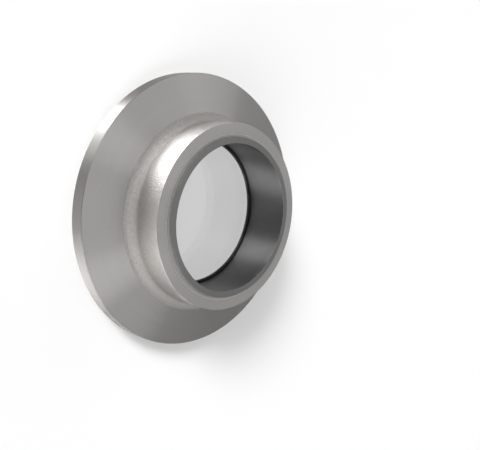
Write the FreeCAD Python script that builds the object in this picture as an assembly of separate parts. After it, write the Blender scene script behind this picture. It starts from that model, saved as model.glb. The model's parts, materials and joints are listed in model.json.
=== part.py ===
"""Small-flange vacuum viewport: a glass window sealed to a metal sleeve that is brazed into a flange.

The part stands on its sealing face. The origin is the centre of that face and +Z is the viewport's
own axis, pointing out of the vacuum towards the person who looks in. Every piece is a body of
revolution, so each is drawn as half a section (radius, height) and turned about the axis.
"""

import FreeCAD
import Part
import math
import os

# Rim and clamping cone of the flange, the 40 mm size of the small-flange standard
rim_radius = 27.5
rim_height = 3.0
cone_angle = 15.0

# Recess that takes the centring ring, on the vacuum side
recess_radius = 20.6
recess_depth = 2.6

# Neck that carries the sleeve
neck_radius = 18.25
neck_end = 12.7
neck_fillet = 2.2
land_length = 2.0
edge_break = 0.1

# Sleeve of glass-sealing alloy: its bore opens towards the glass, where its wall is thinnest
sleeve_radius = 15.55
mouth_wall = 1.15
foot_wall = 0.4
sleeve_proud = 0.75

# Window, a glass disc inside the ring recess, wider than the sleeve
window_front = 3.05
window_thickness = 2.4
window_overlap = 0.9
window_chamfer = 0.3
relief_gap = 0.4

# Ring of dark sealing glass that the foot of the sleeve is bedded in
seal_ring = 0.75
seal_height = 0.45
seal_bed = 0.15
seal_skirt = 0.5

# Braze that fills the corner between the end of the neck and the sleeve
contact_angle = 15.0

sleeve_top = neck_end + sleeve_proud
sleeve_foot = window_front + seal_bed
mouth_radius = sleeve_radius - mouth_wall
foot_radius = sleeve_radius - foot_wall
seal_radius = foot_radius - seal_ring
seal_top = window_front + seal_height
window_radius = sleeve_radius + window_overlap
cone_at_neck = rim_height + (rim_radius - neck_radius) * math.tan(math.radians(cone_angle))


def bore_at(height):
    """The radius of the sleeve's tapered bore at a height."""
    share = (height - sleeve_foot) / (sleeve_top - sleeve_foot)
    return foot_radius + (mouth_radius - foot_radius) * share


def point(radius, height):
    """A point of a half section."""
    return FreeCAD.Vector(radius, 0, height)


def towards(start, goal, length):
    """The point that lies a length away from the start, in the direction of the goal."""
    way = goal - start
    return start + way * (length / way.Length)


def broken_edge(before, corner, after, size):
    """The two points that stand for a corner once its edge is broken by a small flat."""
    return [towards(corner, before, size), towards(corner, after, size)]


def turned(edges):
    """Turn a closed half section once round the axis."""
    origin = FreeCAD.Vector(0, 0, 0)
    axis = FreeCAD.Vector(0, 0, 1)
    solid = Part.Face(Part.Wire(edges)).revolve(origin, axis, 360)
    return solid.removeSplitter()


def tangent_arc(before, corner, after, radius):
    """The arc of that radius that rounds a corner between two straight sides."""
    half_angle = (before - corner).getAngle(after - corner) / 2
    start = towards(corner, before, radius / math.tan(half_angle))
    end = towards(corner, after, radius / math.tan(half_angle))
    middle = towards(corner, (start + end) * 0.5, radius / math.sin(half_angle) - radius)
    return start, end, Part.Arc(start, middle, end).toShape()


def flange():
    """One turned piece: rim, clamping cone, filleted neck, land for the sleeve, ring recess."""
    face_inside = point(recess_radius, 0)
    face_outside = point(rim_radius, 0)
    rim_top = point(rim_radius, rim_height)
    neck_root = point(neck_radius, cone_at_neck)
    neck_edge = point(neck_radius, neck_end)
    land_top = point(sleeve_radius, neck_end)
    land_bottom = point(sleeve_radius, neck_end - land_length)
    relief_top = point(window_radius + relief_gap, neck_end - land_length)
    relief_bottom = point(window_radius + relief_gap, recess_depth)
    recess_corner = point(recess_radius, recess_depth)

    fillet_start, fillet_end, fillet = tangent_arc(rim_top, neck_root, neck_edge, neck_fillet)
    below = broken_edge(recess_corner, face_inside, face_outside, edge_break)
    below += broken_edge(face_inside, face_outside, rim_top, edge_break)
    below += broken_edge(face_outside, rim_top, neck_root, edge_break)
    below += [fillet_start]
    above = [fillet_end]
    above += broken_edge(neck_root, neck_edge, land_top, edge_break)
    above += [land_top, land_bottom, relief_top, relief_bottom, recess_corner, below[0]]
    return turned(Part.makePolygon(below).Edges + [fillet] + Part.makePolygon(above).Edges)


def sleeve():
    """A short tube with a straight outside and a bore that opens towards the glass."""
    top_outside = point(sleeve_radius, sleeve_top)
    top_inside = point(mouth_radius, sleeve_top)
    foot_inside = point(foot_radius, sleeve_foot)
    foot_outside = point(sleeve_radius, sleeve_foot)
    outline = [top_outside, top_inside, foot_inside, foot_outside, top_outside]
    return turned(Part.makePolygon(outline).Edges)


def window():
    """The glass disc, with a ground chamfer round both faces."""
    rear_height = window_front - window_thickness
    rear_centre = point(0, rear_height)
    rear_edge = point(window_radius, rear_height)
    front_edge = point(window_radius, window_front)
    front_centre = point(0, window_front)
    outline = [rear_centre]
    outline += broken_edge(rear_centre, rear_edge, front_edge, window_chamfer)
    outline += broken_edge(rear_edge, front_edge, front_centre, window_chamfer)
    outline += [front_centre, rear_centre]
    return turned(Part.makePolygon(outline).Edges)


def glass_seal():
    """The sealing glass: a bed under the sleeve's foot, a ring inside it and a skirt outside."""
    ring_foot = point(seal_radius, window_front)
    ring_edge = point(seal_radius, seal_top)
    ring_back = point(bore_at(seal_top), seal_top)
    bed_inside = point(foot_radius, sleeve_foot)
    bed_outside = point(sleeve_radius, sleeve_foot)
    skirt_top = point(sleeve_radius, seal_top)
    skirt_foot = point(sleeve_radius + seal_skirt, window_front)
    outline = [ring_foot]
    outline += broken_edge(ring_foot, ring_edge, ring_back, edge_break)
    outline += [ring_back, bed_inside, bed_outside, skirt_top, skirt_foot, ring_foot]
    return turned(Part.makePolygon(outline).Edges)


def braze_fillet():
    """The ring of braze in the corner of the neck's end and the sleeve, hollow as it froze."""
    corner = point(sleeve_radius, neck_end)
    toe = point(sleeve_radius + sleeve_proud, neck_end)
    top = point(sleeve_radius, sleeve_top)
    hollow_turn = math.radians(90 - 2 * contact_angle)
    hollow_depth = (top - toe).Length / 2 * math.tan(hollow_turn / 4)
    hollow_middle = towards((toe + top) * 0.5, corner, hollow_depth)
    hollow = Part.Arc(toe, hollow_middle, top).toShape()
    return turned(Part.makePolygon([top, corner, toe]).Edges + [hollow])


os.makedirs("parts", exist_ok=True)
for piece in (flange, sleeve, window, glass_seal, braze_fillet):
    piece().exportStep("parts/" + piece.__name__ + ".step")
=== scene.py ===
import json
import math

import bpy
import numpy as np
from mathutils import Matrix, Vector


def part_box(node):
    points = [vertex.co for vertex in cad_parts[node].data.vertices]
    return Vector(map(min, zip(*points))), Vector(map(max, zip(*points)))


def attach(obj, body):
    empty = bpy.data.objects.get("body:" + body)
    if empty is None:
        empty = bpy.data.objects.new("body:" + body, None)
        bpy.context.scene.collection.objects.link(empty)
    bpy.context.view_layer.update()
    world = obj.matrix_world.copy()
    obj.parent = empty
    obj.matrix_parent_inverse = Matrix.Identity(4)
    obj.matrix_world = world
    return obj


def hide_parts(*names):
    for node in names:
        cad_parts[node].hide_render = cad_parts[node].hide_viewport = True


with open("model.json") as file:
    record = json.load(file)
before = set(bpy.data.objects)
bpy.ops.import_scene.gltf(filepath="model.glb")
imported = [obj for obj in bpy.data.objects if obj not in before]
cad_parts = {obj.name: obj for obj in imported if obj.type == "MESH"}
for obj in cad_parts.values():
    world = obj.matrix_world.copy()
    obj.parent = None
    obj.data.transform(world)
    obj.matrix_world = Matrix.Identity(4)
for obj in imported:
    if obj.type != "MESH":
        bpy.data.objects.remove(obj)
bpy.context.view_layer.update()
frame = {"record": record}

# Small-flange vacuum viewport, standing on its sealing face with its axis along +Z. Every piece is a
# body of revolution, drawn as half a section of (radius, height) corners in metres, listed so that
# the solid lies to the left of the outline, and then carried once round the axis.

mm = 0.001
white = (1.0, 1.0, 1.0, 1.0)

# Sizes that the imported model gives
mount_radius = {
    mount["name"]: mount["dims"]["r_mm"] * mm
    for mount in frame["record"]["mounts"]
    if "r_mm" in mount["dims"]
}
rim_radius = mount_radius["rim"]
neck_radius = mount_radius["neck"]
recess_radius = mount_radius["ring_recess"]
neck_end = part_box("flange")[1].z
sleeve_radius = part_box("sleeve")[1].x
sleeve_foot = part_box("sleeve")[0].z
sleeve_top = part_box("sleeve")[1].z
window_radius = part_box("window")[1].x
window_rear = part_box("window")[0].z
window_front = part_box("window")[1].z
seal_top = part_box("glass_seal")[1].z
skirt_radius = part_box("glass_seal")[1].x

# Sizes that only the section shows
rim_height = 3.0 * mm
cone_angle = math.radians(15)
recess_depth = 2.6 * mm
relief_gap = 0.4 * mm
land_length = 2.0 * mm
neck_fillet = 2.2 * mm
mouth_wall = 1.15 * mm
foot_wall = 0.4 * mm
seal_ring = 0.75 * mm
braze_hollow = 3.0

# Roundings of the edges
turned_edge = 0.1 * mm
lapped_edge = 0.04 * mm
seal_edge = 0.1 * mm
ground_edge = 0.3 * mm

# Fineness of the meshes. Each side has a point near either end, the holding gap away from it or, on a
# short side, that share of the side. Points nearer to each other than same_place are one.
steps_round = 384
steps_in_arc = 14
holding_gap = 0.05 * mm
most_holding_share = 0.4
same_place = 0.0001 * mm
sharp_from = math.radians(35)

mouth_radius = sleeve_radius - mouth_wall
foot_radius = sleeve_radius - foot_wall
seal_radius = foot_radius - seal_ring
relief_radius = window_radius + relief_gap
land_foot = neck_end - land_length
braze_reach = sleeve_top - neck_end
cone_rise = (rim_radius - neck_radius) * math.tan(cone_angle)
cone_root = rim_height + cone_rise
fillet_turn = math.pi / 2 - cone_angle
fillet_reach = neck_fillet * math.tan(fillet_turn / 2)
fillet_outside = neck_radius + fillet_reach * math.cos(cone_angle)
fillet_top = cone_root + fillet_reach

# The blasted faces, from the fillet's foot to part of the way round the neck's edge, lie in the box
# from (least radius, least height) to (most radius, most height)
blast_inside = neck_radius - 0.05 * mm
blast_foot = cone_root - 0.5 * mm
blast_end = neck_end - 0.03 * mm
blasted_box = (blast_inside, blast_foot), (fillet_outside, blast_end)


def bore_at(height):
    """The radius of the sleeve's tapered bore at a height, on the line from its foot to its mouth."""
    share = (height - sleeve_foot) / (sleeve_top - sleeve_foot)
    return foot_radius + (mouth_radius - foot_radius) * share


def unit(vectors):
    """Each row divided by its own length."""
    return vectors / np.linalg.norm(vectors, axis=1, keepdims=True)


def outline(corners):
    """Half a section from corners (radius, height, rounding).

    Each corner becomes the arc that touches both of its sides: its centre lies on the corner's
    bisector at rounding / sin(half the angle), and the arc's points are the blend of its two end
    directions by sin((1 - s) * sweep) and sin(s * sweep) over sin(sweep). Each side gets a holding
    point near either end, so that smooth shading stays flat on it.
    """
    table = np.array(corners, float)
    place, rounding = table[:, :2], table[:, 2:]
    back = unit(np.roll(place, 1, axis=0) - place)
    ahead = unit(np.roll(place, -1, axis=0) - place)
    half = np.arccos(np.clip((back * ahead).sum(1, keepdims=True), -1, 1)) / 2
    centre = place + unit(back + ahead) * rounding / np.sin(half)
    start = place + back * rounding / np.tan(half)
    end = place + ahead * rounding / np.tan(half)
    sweep = (math.pi - 2 * half)[:, None]
    share = np.linspace(0, 1, steps_in_arc)[None, :, None]
    from_start = np.sin((1 - share) * sweep) * (start - centre)[:, None]
    from_end = np.sin(share * sweep) * (end - centre)[:, None]
    arcs = centre[:, None] + (from_start + from_end) / np.sin(sweep)
    next_start = np.roll(start, -1, axis=0)
    way = next_start - end
    gap = holding_gap / np.linalg.norm(way, axis=1, keepdims=True)
    gap = np.minimum(gap, most_holding_share)
    holds = np.stack([end + way * gap, next_start - way * gap], axis=1)
    points = np.concatenate([arcs, holds], axis=1).reshape(-1, 2)
    moved = np.linalg.norm(points - np.roll(points, 1, axis=0), axis=1)
    return points[moved > same_place]


def carried_round(section):
    """The vertices and faces of a closed section carried once round the axis, and its rows.

    Point (i, j) of the grid is (r_i cos a_j, r_i sin a_j, h_i), where a_j runs once round and row i
    is the section's point i off the axis. Each face joins two neighbours of the section and two of
    the round. Points on the axis become one vertex at either end of it, with a fan of triangles.
    """
    on_axis = section[:, 0] < same_place
    closed = not on_axis.any()
    if not closed:
        first_on_axis = np.argmax(on_axis & ~np.roll(on_axis, 1))
        section = np.roll(section, -first_on_axis, axis=0)
        on_axis = section[:, 0] < same_place
    rows = section[~on_axis]
    angle = np.arange(steps_round) * 2 * math.pi / steps_round
    x = rows[:, :1] * np.cos(angle)
    y = rows[:, :1] * np.sin(angle)
    z = np.broadcast_to(rows[:, 1:], x.shape)
    vertices = np.stack([x, y, z], axis=-1).reshape(-1, 3)
    here = np.arange(steps_round)
    beside = (here + 1) % steps_round
    row = np.arange(len(rows) if closed else len(rows) - 1)[:, None]
    low = row * steps_round
    high = (row + 1) % len(rows) * steps_round
    corners = (low + here, low + beside, high + beside, high + here)
    faces = np.stack(corners, axis=-1).reshape(-1, 4).tolist()
    if not closed:
        pole_heights = sorted((section[on_axis][0, 1], section[on_axis][-1, 1]))
        low_pole = np.full(steps_round, len(vertices))
        high_pole = low_pole + 1
        last = (len(rows) - 1) * steps_round
        faces += np.stack([low_pole, beside, here], axis=-1).tolist()
        faces += np.stack([last + here, last + beside, high_pole], axis=-1).tolist()
        vertices = np.concatenate([vertices, [[0, 0, height] for height in pole_heights]])
    return vertices, faces, rows


def turned(name, section, materials, second_finish=None):
    """A piece of the one rigid body, made of a section carried once round the axis.

    Where second_finish is given, the faces whose middle lies in its box of (least radius, least
    height), (most radius, most height) get the second material.
    """
    vertices, faces, rows = carried_round(section)
    mesh = bpy.data.meshes.new(name)
    mesh.from_pydata(vertices.tolist(), [], faces)
    mesh.polygons.foreach_set("use_smooth", np.ones(len(faces), bool))
    mesh.set_sharp_from_angle(angle=sharp_from)
    for material in materials:
        mesh.materials.append(material)
    if second_finish:
        middle = (rows + np.roll(rows, -1, axis=0)) / 2
        least, most = np.array(second_finish)
        inside = ((middle > least) & (middle < most)).all(axis=1)
        mesh.polygons.foreach_set("material_index", np.repeat(inside, steps_round).astype(np.int32))
    piece = bpy.data.objects.new(name, mesh)
    bpy.context.scene.collection.objects.link(piece)
    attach(piece, "root")
    return piece


def flange_section():
    """Rim, clamping cone, filleted neck, land for the sleeve, relief and ring recess."""
    return outline([
        (recess_radius, 0, turned_edge),
        (rim_radius, 0, turned_edge),
        (rim_radius, rim_height, turned_edge),
        (neck_radius, cone_root, neck_fillet),
        (neck_radius, neck_end, turned_edge),
        (sleeve_radius, neck_end, 0),
        (sleeve_radius, land_foot, 0),
        (relief_radius, land_foot, 0),
        (relief_radius, recess_depth, lapped_edge),
        (recess_radius, recess_depth, turned_edge),
    ])


def sleeve_section():
    """A tube with a straight outside and a bore that opens towards the glass."""
    return outline([
        (foot_radius, sleeve_foot, 0),
        (sleeve_radius, sleeve_foot, 0),
        (sleeve_radius, sleeve_top, lapped_edge),
        (mouth_radius, sleeve_top, lapped_edge),
    ])


def window_section():
    """A disc with ground edges, closed at the axis."""
    return outline([
        (0, window_rear, 0),
        (window_radius, window_rear, ground_edge),
        (window_radius, window_front, ground_edge),
        (0, window_front, 0),
    ])


def seal_section():
    """A bed under the sleeve's foot, with a ring inside the bore and a skirt outside it."""
    return outline([
        (seal_radius, window_front, 0),
        (skirt_radius, window_front, 0),
        (sleeve_radius, seal_top, 0),
        (sleeve_radius, sleeve_foot, 0),
        (foot_radius, sleeve_foot, 0),
        (bore_at(seal_top), seal_top, 0),
        (seal_radius, seal_top, seal_edge),
    ])


def braze_section():
    """The corner of the neck's end and the sleeve, closed by a hollow curve.

    With s from 0 at the toe to 1 at the sleeve, the curve lies (1 - s) ** hollow of the reach out
    from the sleeve and s ** hollow of the reach up, so that it leaves both faces along them.
    """
    share = np.linspace(0, 1, 2 * steps_in_arc)
    radius = sleeve_radius + braze_reach * (1 - share) ** braze_hollow
    height = neck_end + braze_reach * share ** braze_hollow
    corner = np.array([[sleeve_radius, neck_end]])
    return np.concatenate([np.stack([radius, height], axis=-1), corner])


def add(tree, kind, inputs=(), **settings):
    """A node of that kind; each input is joined to the socket given for it, or set to the value."""
    made = tree.nodes.new(kind)
    for name, value in settings.items():
        setattr(made, name, value)
    for name, value in dict(inputs).items():
        if isinstance(value, bpy.types.NodeSocket):
            tree.links.new(value, made.inputs[name])
        else:
            made.inputs[name].default_value = value
    return made


def maths(tree, operation, *values):
    """The result of one operation on numbers or sockets."""
    return add(tree, "ShaderNodeMath", enumerate(values), operation=operation).outputs[0]


def smooth_step(tree, value, low, high):
    """0 at low, 1 at high and a soft ramp between them, whichever of the two is the greater."""
    inputs = {"Value": value, "From Min": low, "From Max": high}
    step = add(tree, "ShaderNodeMapRange", inputs, interpolation_type="SMOOTHSTEP")
    return step.outputs["Result"]


# The Mix node's inputs for the share and the two values, and its output, by the kind of value
mix_sockets = {"FLOAT": ((0, 2, 3), 0), "RGBA": ((0, 6, 7), 2)}


def blend(tree, share, first, second, kind="FLOAT"):
    """The first value or colour where share is 0, the second where it is 1."""
    places, result = mix_sockets[kind]
    values = zip(places, (share, first, second))
    return add(tree, "ShaderNodeMix", values, data_type=kind).outputs[result]


def shaded(tree, shade, colours, spread=0.2):
    """The dark colour up to a shade of 0.5 - spread, the light one from 0.5 + spread on."""
    made = add(tree, "ShaderNodeValToRGB", {"Fac": shade})
    for stop, colour, place in zip(made.color_ramp.elements, colours, (0.5 - spread, 0.5 + spread)):
        stop.position = place
        stop.color = colour
    return made.outputs["Color"]


def between(tree, shade, limits):
    """The least of the two limits at a shade of 0, the most of them at 1."""
    least, most = limits
    return maths(tree, "MULTIPLY_ADD", shade, most - least, least)


def new_group(name, inputs, outputs):
    """An empty shader node group with number inputs and number outputs, and its two end nodes."""
    tree = bpy.data.node_groups.new(name, "ShaderNodeTree")
    for socket, value in inputs.items():
        made = tree.interface.new_socket(socket, in_out="INPUT", socket_type="NodeSocketFloat")
        made.default_value = value
    for socket in outputs:
        tree.interface.new_socket(socket, in_out="OUTPUT", socket_type="NodeSocketFloat")
    return tree, add(tree, "NodeGroupInput"), add(tree, "NodeGroupOutput")


def object_place(tree):
    """Object coordinates: the shaded point in the part's own frame, in metres."""
    return add(tree, "ShaderNodeTexCoord").outputs["Object"]


def noise(tree, **settings):
    """A value that wanders about 0.5, along W or through space; settings name the node's sockets."""
    kind = "1D" if "W" in settings else "3D"
    return add(tree, "ShaderNodeTexNoise", settings, noise_dimensions=kind).outputs["Fac"]


def section_place(tree):
    """Radius and height of the shaded point, in millimetres, from Object coordinates."""
    parts = add(tree, "ShaderNodeSeparateXYZ", {"Vector": object_place(tree)}).outputs
    square = maths(tree, "MULTIPLY", parts["X"], parts["X"])
    square = maths(tree, "MULTIPLY_ADD", parts["Y"], parts["Y"], square)
    radius = maths(tree, "MULTIPLY", maths(tree, "SQRT", square), 1 / mm)
    height = maths(tree, "MULTIPLY", parts["Z"], 1 / mm)
    return radius, height


def make_turning_marks():
    """Rings left by the tool: noise that runs fast along the section and hardly at all round it.

    The rings wander a little round the part, and broad bands of them are darker or lighter.
    """
    wander = 0.25
    bands_per_mark = 0.07
    bands_in_shade = 0.4
    tree, start, end = new_group("Turning marks", {"Marks per mm": 9.0}, ["Height", "Shade"])
    radius, height = section_place(tree)
    drift = noise(tree, Vector=object_place(tree), Scale=35.0, Detail=1.0)
    along = maths(tree, "ADD", radius, height)
    along = maths(tree, "MULTIPLY_ADD", drift, wander, along)
    along = maths(tree, "MULTIPLY", along, start.outputs["Marks per mm"])
    lines = noise(tree, W=along, Scale=1.0, Detail=2.0, Roughness=0.6)
    slow = maths(tree, "MULTIPLY", along, bands_per_mark)
    bands = noise(tree, W=slow, Scale=1.0, Detail=1.0)
    tree.links.new(lines, end.inputs["Height"])
    tree.links.new(blend(tree, bands_in_shade, lines, bands), end.inputs["Shade"])
    return tree


def make_blasted_grain():
    """The pitted skin of a bead-blasted face: fine pits and coarser clouds, two noises in space."""
    clouds_per_grain = 0.22
    clouds_in_shade = 0.15
    tree, start, end = new_group("Blasted grain", {"Grains per mm": 6.0}, ["Height", "Shade"])
    place = object_place(tree)
    scale = maths(tree, "MULTIPLY", start.outputs["Grains per mm"], 1 / mm)
    pits = noise(tree, Vector=place, Scale=scale, Detail=0.5, Roughness=0.6)
    wide = maths(tree, "MULTIPLY", scale, clouds_per_grain)
    clouds = noise(tree, Vector=place, Scale=wide, Detail=1.0)
    tree.links.new(pits, end.inputs["Height"])
    tree.links.new(blend(tree, clouds_in_shade, pits, clouds), end.inputs["Shade"])
    return tree


def make_edge_wear():
    """1 on an edge that is a circle of that radius and height, fading out raggedly over the width.

    The distance from the circle, in widths, plus a noise of 0 to 1 is compared with two limits: below
    the first the edge is worn, past the second it is whole.
    """
    worn, whole = 0.5, 1.5
    inputs = {"Radius": 1.0, "Height": 1.0, "Width": 0.2}
    tree, start, end = new_group("Edge wear", inputs, ["Mask"])
    radius, height = section_place(tree)
    out = maths(tree, "SUBTRACT", radius, start.outputs["Radius"])
    up = maths(tree, "SUBTRACT", height, start.outputs["Height"])
    square = maths(tree, "MULTIPLY_ADD", up, up, maths(tree, "MULTIPLY", out, out))
    away = maths(tree, "DIVIDE", maths(tree, "SQRT", square), start.outputs["Width"])
    ragged = noise(tree, Vector=object_place(tree), Scale=900.0, Detail=2.0)
    mask = smooth_step(tree, maths(tree, "ADD", away, ragged), whole, worn)
    tree.links.new(mask, end.inputs["Mask"])
    return tree


turning_marks = make_turning_marks()
blasted_grain = make_blasted_grain()
edge_wear = make_edge_wear()


def group(tree, shared, **inputs):
    """One of the shared effects, placed in a material with its own values."""
    made = add(tree, "ShaderNodeGroup", node_tree=shared)
    for name, value in inputs.items():
        made.inputs[name.replace("_", " ")].default_value = value
    return made.outputs


def bumped(tree, height, depth):
    """A normal that follows a height of 0 to 1, which stands for that depth in metres."""
    inputs = {"Height": height, "Strength": 1.0, "Distance": depth}
    return add(tree, "ShaderNodeBump", inputs).outputs["Normal"]


def new_material(name):
    """A new material with one Principled shader: the material, its node tree and that shader."""
    made = bpy.data.materials.new(name)
    made.use_nodes = True
    return made, made.node_tree, made.node_tree.nodes["Principled BSDF"]


def join(tree, shader, **sockets):
    """Join values to the shader's sockets, which are named with _ for a space."""
    for name, value in sockets.items():
        tree.links.new(value, shader.inputs[name.replace("_", " ")])


def roughen_across(tree, shader):
    """Make a finish rougher across the tool's path, (-y, x, 0), than along it."""
    axis_and_place = {0: (0.0, 0.0, 1.0), 1: object_place(tree)}
    path = add(tree, "ShaderNodeVectorMath", axis_and_place, operation="CROSS_PRODUCT").outputs[0]
    join(tree, shader, Tangent=path)
    shader.inputs["Anisotropic"].default_value = 1.0
    shader.inputs["Anisotropic Rotation"].default_value = 0.25


def across(tree, value, place, band):
    """0 at the first end of a band and 1 at its second; both are counted from a place in metres."""
    first, second = band
    return smooth_step(tree, value, place / mm + first, place / mm + second)


# Colours of the finishes: two of them are the dark and the light of a grain
turned_colours = (0.440, 0.429, 0.417, 1), (0.470, 0.458, 0.446, 1)
worn_colour = (0.50, 0.49, 0.475, 1)
blasted_colours = (0.415, 0.402, 0.388, 1), (0.545, 0.528, 0.511, 1)
sleeve_end_colours = (0.215, 0.215, 0.214, 1), (0.245, 0.245, 0.244, 1)
# Darker than the sleeve's end: painted shade inside the bore
bore_painted_shade_colours = (0.190, 0.190, 0.190, 1), (0.235, 0.235, 0.235, 1)
braze_colours = (0.58, 0.565, 0.548, 1), (0.64, 0.624, 0.606, 1)
# Painted shade in the braze's corner with the sleeve
sleeve_corner_shade_colour = (0.38, 0.37, 0.36, 1)
glass_colours = (0.955, 0.955, 0.953, 1), (0.975, 0.975, 0.973, 1)
seal_colours = (0.020, 0.020, 0.021, 1), (0.034, 0.034, 0.035, 1)

# Roughness of the finishes: two of them are the least and the most over a grain
turned_rough = 0.22, 0.27
rim_rough = 0.56
neck_rough = 0.34, 0.42
fillet_rough = 0.54, 0.62
sleeve_end_rough = 0.20, 0.26
bore_rough = 0.40, 0.50
braze_rough = 0.60, 0.70
film_rough = 0.0, 0.004
ground_rough = 0.45
seal_rough = 0.12, 0.20

# Depth of the finishes' relief
turned_depth = 0.0024 * mm
blasted_depth = 0.11 * mm
sleeve_depth = 0.006 * mm
braze_depth = 0.01 * mm
seal_depth = 0.01 * mm

# Bands in which one finish gives way to the next, in millimetres from the rim's radius, from the
# fillet's top and from the sleeve's top, and the width of a worn edge in the same unit
rim_band = -0.10, -0.04
fillet_band = -1.2, 0.3
mouth_band = -0.01, -0.04
wear_width = 0.05


def flange_steel():
    """Warm satin stainless as it left the lathe: end face, cone, rim and recess."""
    made, tree, shader = new_material("flange_steel")
    radius, _ = section_place(tree)
    on_rim = across(tree, radius, rim_radius, rim_band)
    marks = group(tree, turning_marks, Marks_per_mm=9.0)
    edges = (rim_radius, rim_height), (neck_radius, neck_end)
    wear = [
        group(tree, edge_wear, Radius=edge / mm, Height=height / mm, Width=wear_width)["Mask"]
        for edge, height in edges
    ]
    worn = maths(tree, "MAXIMUM", *wear)
    colour = shaded(tree, marks["Shade"], turned_colours)
    colour = blend(tree, worn, colour, worn_colour, "RGBA")
    rough = blend(tree, on_rim, between(tree, marks["Shade"], turned_rough), rim_rough)
    relief = bumped(tree, marks["Height"], turned_depth)
    join(tree, shader, Base_Color=colour, Roughness=rough, Normal=relief)
    roughen_across(tree, shader)
    shader.inputs["Metallic"].default_value = 1.0
    return made


def blasted_steel():
    """The same steel on the neck and its fillet, bead-blasted: matt, grainy, alike in every direction.

    It is rougher in the fillet, which the beads hit at a slant.
    """
    made, tree, shader = new_material("blasted_steel")
    _, height = section_place(tree)
    on_neck = across(tree, height, fillet_top, fillet_band)
    grain = group(tree, blasted_grain, Grains_per_mm=5.6)
    colour = shaded(tree, grain["Shade"], blasted_colours, spread=0.15)
    in_fillet = between(tree, grain["Shade"], fillet_rough)
    rough = blend(tree, on_neck, in_fillet, between(tree, grain["Shade"], neck_rough))
    relief = bumped(tree, grain["Height"], blasted_depth)
    join(tree, shader, Base_Color=colour, Roughness=rough, Normal=relief)
    shader.inputs["Metallic"].default_value = 1.0
    return made


def sleeve_alloy():
    """Dark satin glass-sealing alloy: a ground end, and a bore coloured a little darker, which is
    painted shade inside the bore.
    """
    blasted_in_colour = 0.5
    blasted_in_relief = 0.8
    made, tree, shader = new_material("sleeve_alloy")
    _, height = section_place(tree)
    in_bore = across(tree, height, sleeve_top, mouth_band)
    marks = group(tree, turning_marks, Marks_per_mm=12.0)
    grain = group(tree, blasted_grain, Grains_per_mm=6.0)
    shade = blend(tree, blasted_in_colour, marks["Shade"], grain["Shade"])
    end_colour = shaded(tree, shade, sleeve_end_colours)
    # The bore's darker colour is painted shade inside the bore
    colour = blend(tree, in_bore, end_colour, shaded(tree, shade, bore_painted_shade_colours), "RGBA")
    end_rough = between(tree, grain["Shade"], sleeve_end_rough)
    rough = blend(tree, in_bore, end_rough, between(tree, grain["Shade"], bore_rough))
    relief = blend(tree, blasted_in_relief, marks["Height"], grain["Height"])
    relief = bumped(tree, relief, sleeve_depth)
    join(tree, shader, Base_Color=colour, Roughness=rough, Normal=relief)
    roughen_across(tree, shader)
    shader.inputs["Metallic"].default_value = 1.0
    return made


def braze_metal():
    """The filler as it froze: warm and satin like the steel, and coloured darker towards the sleeve,
    which is painted shade in the corner.
    """
    made, tree, shader = new_material("braze_metal")
    radius, _ = section_place(tree)
    near = smooth_step(tree, radius, (sleeve_radius + braze_reach) / mm, sleeve_radius / mm)
    grain = group(tree, blasted_grain, Grains_per_mm=7.0)
    colour = shaded(tree, grain["Shade"], braze_colours)
    # Painted shade: the colour darkens towards the corner with the sleeve
    colour = blend(tree, near, colour, sleeve_corner_shade_colour, "RGBA")
    rough = between(tree, grain["Shade"], braze_rough)
    relief = bumped(tree, grain["Height"], braze_depth)
    join(tree, shader, Base_Color=colour, Roughness=rough, Normal=relief)
    shader.inputs["Metallic"].default_value = 1.0
    return made


def window_glass():
    """Clear polished glass, hazed by a faint film and slightly ground at its edge."""
    made, tree, shader = new_material("window_glass")
    radius, _ = section_place(tree)
    film = noise(tree, Vector=object_place(tree), Scale=160.0, Detail=3.0)
    ground = smooth_step(tree, radius, (window_radius - ground_edge) / mm, window_radius / mm)
    colour = shaded(tree, film, glass_colours, spread=0.3)
    rough = blend(tree, ground, between(tree, film, film_rough), ground_rough)
    join(tree, shader, Base_Color=colour, Roughness=rough)
    shader.inputs["Transmission Weight"].default_value = 1.0
    shader.inputs["IOR"].default_value = 1.47
    return made


def seal_glass():
    """Black sealing glass, fire-polished, with soft flow waves."""
    made, tree, shader = new_material("seal_glass")
    waves = noise(tree, Vector=object_place(tree), Scale=300.0, Detail=1.0)
    colour = shaded(tree, waves, seal_colours)
    rough = between(tree, waves, seal_rough)
    join(tree, shader, Base_Color=colour, Roughness=rough, Normal=bumped(tree, waves, seal_depth))
    shader.inputs["IOR"].default_value = 1.5
    return made


def make_pieces():
    """The five pieces, each in place of the solid that it gives a finer surface."""
    plan = (
        ("flange_turned", flange_section(), [flange_steel(), blasted_steel()], "flange", "flange"),
        ("sleeve_tube", sleeve_section(), [sleeve_alloy()], "sleeve", "sleeve"),
        ("window_disc", window_section(), [window_glass()], "window", "window"),
        ("seal_ring", seal_section(), [seal_glass()], "glass_seal", "seal"),
        ("braze_ring", braze_section(), [braze_metal()], "braze_fillet", "braze"),
    )
    for name, section, materials, node, slot in plan:
        piece = turned(name, section, materials, blasted_box if len(materials) == 2 else None)
        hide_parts(node)


# The camera, as the photograph's circles give it: the axis points that far to the right of the line
# to the camera and that far below the picture's horizon, and the foot of the axis is seen at
# (right, up, ahead) from the camera. The sensor's width is in Blender's own unit, the millimetre.
axis_turn = math.radians(45.772)
axis_drop = math.radians(8.368)
foot_seen_at = (-10.788 * mm, 3.270 * mm, 149.578 * mm)
picture_width = 480
focal_pixels = 727.0
sensor_width = 36
nearest_seen = 5 * mm
farthest_seen = 20.0


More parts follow.
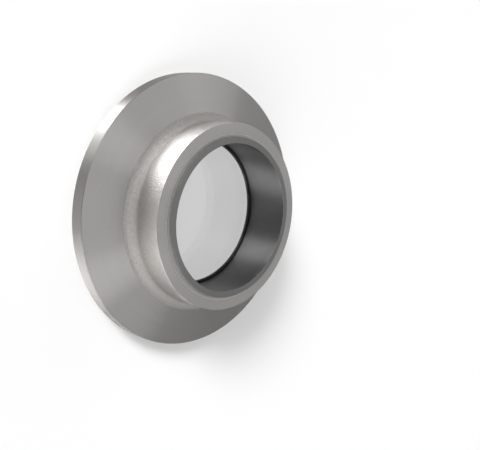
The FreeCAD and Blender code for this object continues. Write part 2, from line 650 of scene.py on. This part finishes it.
def make_camera():
    """The world's axes as the camera sees them give its turn, and the foot of the axis its place."""
    level = math.cos(axis_drop)
    z_seen = Vector((math.sin(axis_turn) * level, -math.sin(axis_drop), math.cos(axis_turn) * level))
    x_seen = Vector((math.cos(axis_turn), 0, -math.sin(axis_turn)))
    turn = Matrix((x_seen, z_seen.cross(x_seen), z_seen))
    right, up, ahead = foot_seen_at
    data = bpy.data.cameras.new("camera")
    data.sensor_width = sensor_width
    data.lens = focal_pixels * sensor_width / picture_width
    data.clip_start = nearest_seen
    data.clip_end = farthest_seen
    camera = bpy.data.objects.new("camera", data)
    camera.matrix_world = Matrix.Translation(-(turn @ Vector((right, up, -ahead)))) @ turn.to_4x4()
    bpy.context.scene.collection.objects.link(camera)
    bpy.context.scene.camera = camera


def towards(azimuth, elevation):
    """The direction at that azimuth from +X and that elevation, both in degrees."""
    around, above = math.radians(azimuth), math.radians(elevation)
    flat = math.cos(above)
    return Vector((flat * math.cos(around), flat * math.sin(around), math.sin(above)))


# Lamps as (name, azimuth, elevation, strength, spread). The floor hides no lamp, so those from
# beneath reach the walls that the photograph shows lit from behind and below.
lamps = (
    ("key", 133, 30, 1.06, 34),
    ("low_key", 145, 6, 0.08, 28),
    ("fill", 242, 30, 0.88, 36),
    ("side", 222, 6, 0.46, 36),
    ("back", 285, 30, 0.08, 28),
    ("far_side", 50, 14, 0.20, 40),
    ("glow_low", 120, -15, 0.80, 20),
    ("glow", 118, -30, 3.5, 18),
    ("glow_south", 224, -28, 0.45, 34),
    ("glow_rim", 244, -54, 0.30, 34),
    ("glow_side", 286, -52, 1.2, 40),
    ("glow_front", 196, -52, 0.60, 40),
)


def make_lamp(name, azimuth, elevation, strength, spread):
    """A soft lamp far away in that direction; spread is the angle that it fills, in degrees.

    A lamp from beneath is sampled on its own, as a mirrored ray would meet the floor before it.
    """
    data = bpy.data.lights.new(name, "SUN")
    data.energy = strength
    data.angle = math.radians(spread)
    data.cycles.use_multiple_importance_sampling = elevation > 0
    lamp = bpy.data.objects.new(name, data)
    lamp.matrix_world = towards(azimuth, elevation).to_track_quat("Z", "Y").to_matrix().to_4x4()
    bpy.context.scene.collection.objects.link(lamp)
    return lamp


def make_floor_lamp(floor):
    """The lamp that draws the part's shadow, which lights the floor alone."""
    lamp = make_lamp("floor_key", azimuth=138, elevation=26, strength=2.45, spread=18)
    only_floor = bpy.data.collections.new("floor_only")
    only_floor.objects.link(floor)
    lamp.light_linking.receiver_collection = only_floor


# The room's light by height, which is the sine of the elevation. Each rise is the height at which a
# light is nothing and the one at which it is full.
overhead_light, overhead_rise = 0.71, (0.05, 0.85)
zenith_light, zenith_rise = 0.22, (0.6, 1.0)
horizon_rise = -0.02, 0.0
backdrop_rise = 0.10, 0.02

# Patches of the room's light as (azimuth, elevation, depth); a depth below 0 makes one brighter. The
# rise is the cosine of the angle from a patch's middle.
patch_rise = 0.6, 0.95
room_patches = (
    (112, 35, 0.49),
    (185, 45, 0.42),
    (-43, 30, 0.08),
    (262, 30, 0.11),
    (46, 25, -0.10),
    (0, 50, -0.03),
)


def make_room():
    """The light all round: pale overhead, none from beneath, and a patch here and there.

    The camera and the glass see plain white all round, and metal mirrors that white low down, where
    a backdrop would stand.
    """
    world = bpy.data.worlds.new("room")
    world.use_nodes = True
    bpy.context.scene.world = world
    tree = world.node_tree
    tree.nodes.clear()
    direction = add(tree, "ShaderNodeTexCoord").outputs["Generated"]
    height = add(tree, "ShaderNodeSeparateXYZ", {"Vector": direction}).outputs["Z"]
    strength = maths(tree, "MULTIPLY", smooth_step(tree, height, *overhead_rise), overhead_light)
    zenith = smooth_step(tree, height, *zenith_rise)
    strength = maths(tree, "MULTIPLY_ADD", zenith, zenith_light, strength)
    for azimuth, elevation, depth in room_patches:
        ways = {0: direction, 1: tuple(towards(azimuth, elevation))}
        cosine = add(tree, "ShaderNodeVectorMath", ways, operation="DOT_PRODUCT").outputs["Value"]
        patch = smooth_step(tree, cosine, *patch_rise)
        strength = maths(tree, "MULTIPLY_ADD", patch, -depth, strength)
    strength = maths(tree, "MAXIMUM", strength, 0.0)
    strength = maths(tree, "MULTIPLY", strength, smooth_step(tree, height, *horizon_rise))
    ray = add(tree, "ShaderNodeLightPath").outputs
    low_down = smooth_step(tree, height, *backdrop_rise)
    mirrored = maths(tree, "MULTIPLY", ray["Is Glossy Ray"], low_down)
    seen = maths(tree, "MAXIMUM", ray["Is Camera Ray"], ray["Is Transmission Ray"])
    seen = maths(tree, "MAXIMUM", seen, mirrored)
    strength = blend(tree, seen, strength, 1.0)
    light = add(tree, "ShaderNodeBackground", {"Color": white, "Strength": strength})
    end = add(tree, "ShaderNodeOutputWorld")
    tree.links.new(light.outputs[0], end.inputs["Surface"])


# The floor's half width, its colour, the colours that the camera and the glass show instead, and the
# strength of a light of its own, which only the glass shows
floor_half = 3.0
floor_colour = (0.85, 0.85, 0.85, 1)
floor_for_camera = (0.9, 0.9, 0.9, 1)
floor_for_glass = (0.1, 0.1, 0.1, 1)
glow_for_glass = 0.55


def make_floor():
    """A wide white floor that hides no lamp. Through the glass it shows an even pale grey."""
    corners = [
        (-floor_half, -floor_half, 0), (floor_half, -floor_half, 0),
        (floor_half, floor_half, 0), (-floor_half, floor_half, 0),
    ]
    mesh = bpy.data.meshes.new("floor")
    mesh.from_pydata(corners, [], [(0, 1, 2, 3)])
    floor = bpy.data.objects.new("floor", mesh)
    bpy.context.scene.collection.objects.link(floor)
    floor.visible_shadow = False
    made = bpy.data.materials.new("floor_white")
    made.use_nodes = True
    mesh.materials.append(made)
    tree = made.node_tree
    tree.nodes.clear()
    ray = add(tree, "ShaderNodeLightPath").outputs
    glow = maths(tree, "MULTIPLY", ray["Is Transmission Ray"], glow_for_glass)
    own = add(tree, "ShaderNodeEmission", {"Color": white, "Strength": glow})
    colour = blend(tree, ray["Is Camera Ray"], floor_colour, floor_for_camera, "RGBA")
    colour = blend(tree, ray["Is Transmission Ray"], colour, floor_for_glass, "RGBA")
    lit = add(tree, "ShaderNodeBsdfDiffuse", {"Color": colour})
    both = add(tree, "ShaderNodeAddShader", {0: own.outputs[0], 1: lit.outputs[0]})
    end = add(tree, "ShaderNodeOutputMaterial")
    tree.links.new(both.outputs[0], end.inputs["Surface"])
    return floor


make_pieces()
make_camera()
make_room()
floor = make_floor()
for lamp in lamps:
    make_lamp(*lamp)
make_floor_lamp(floor)

bpy.context.scene.view_settings.view_transform = "Standard"
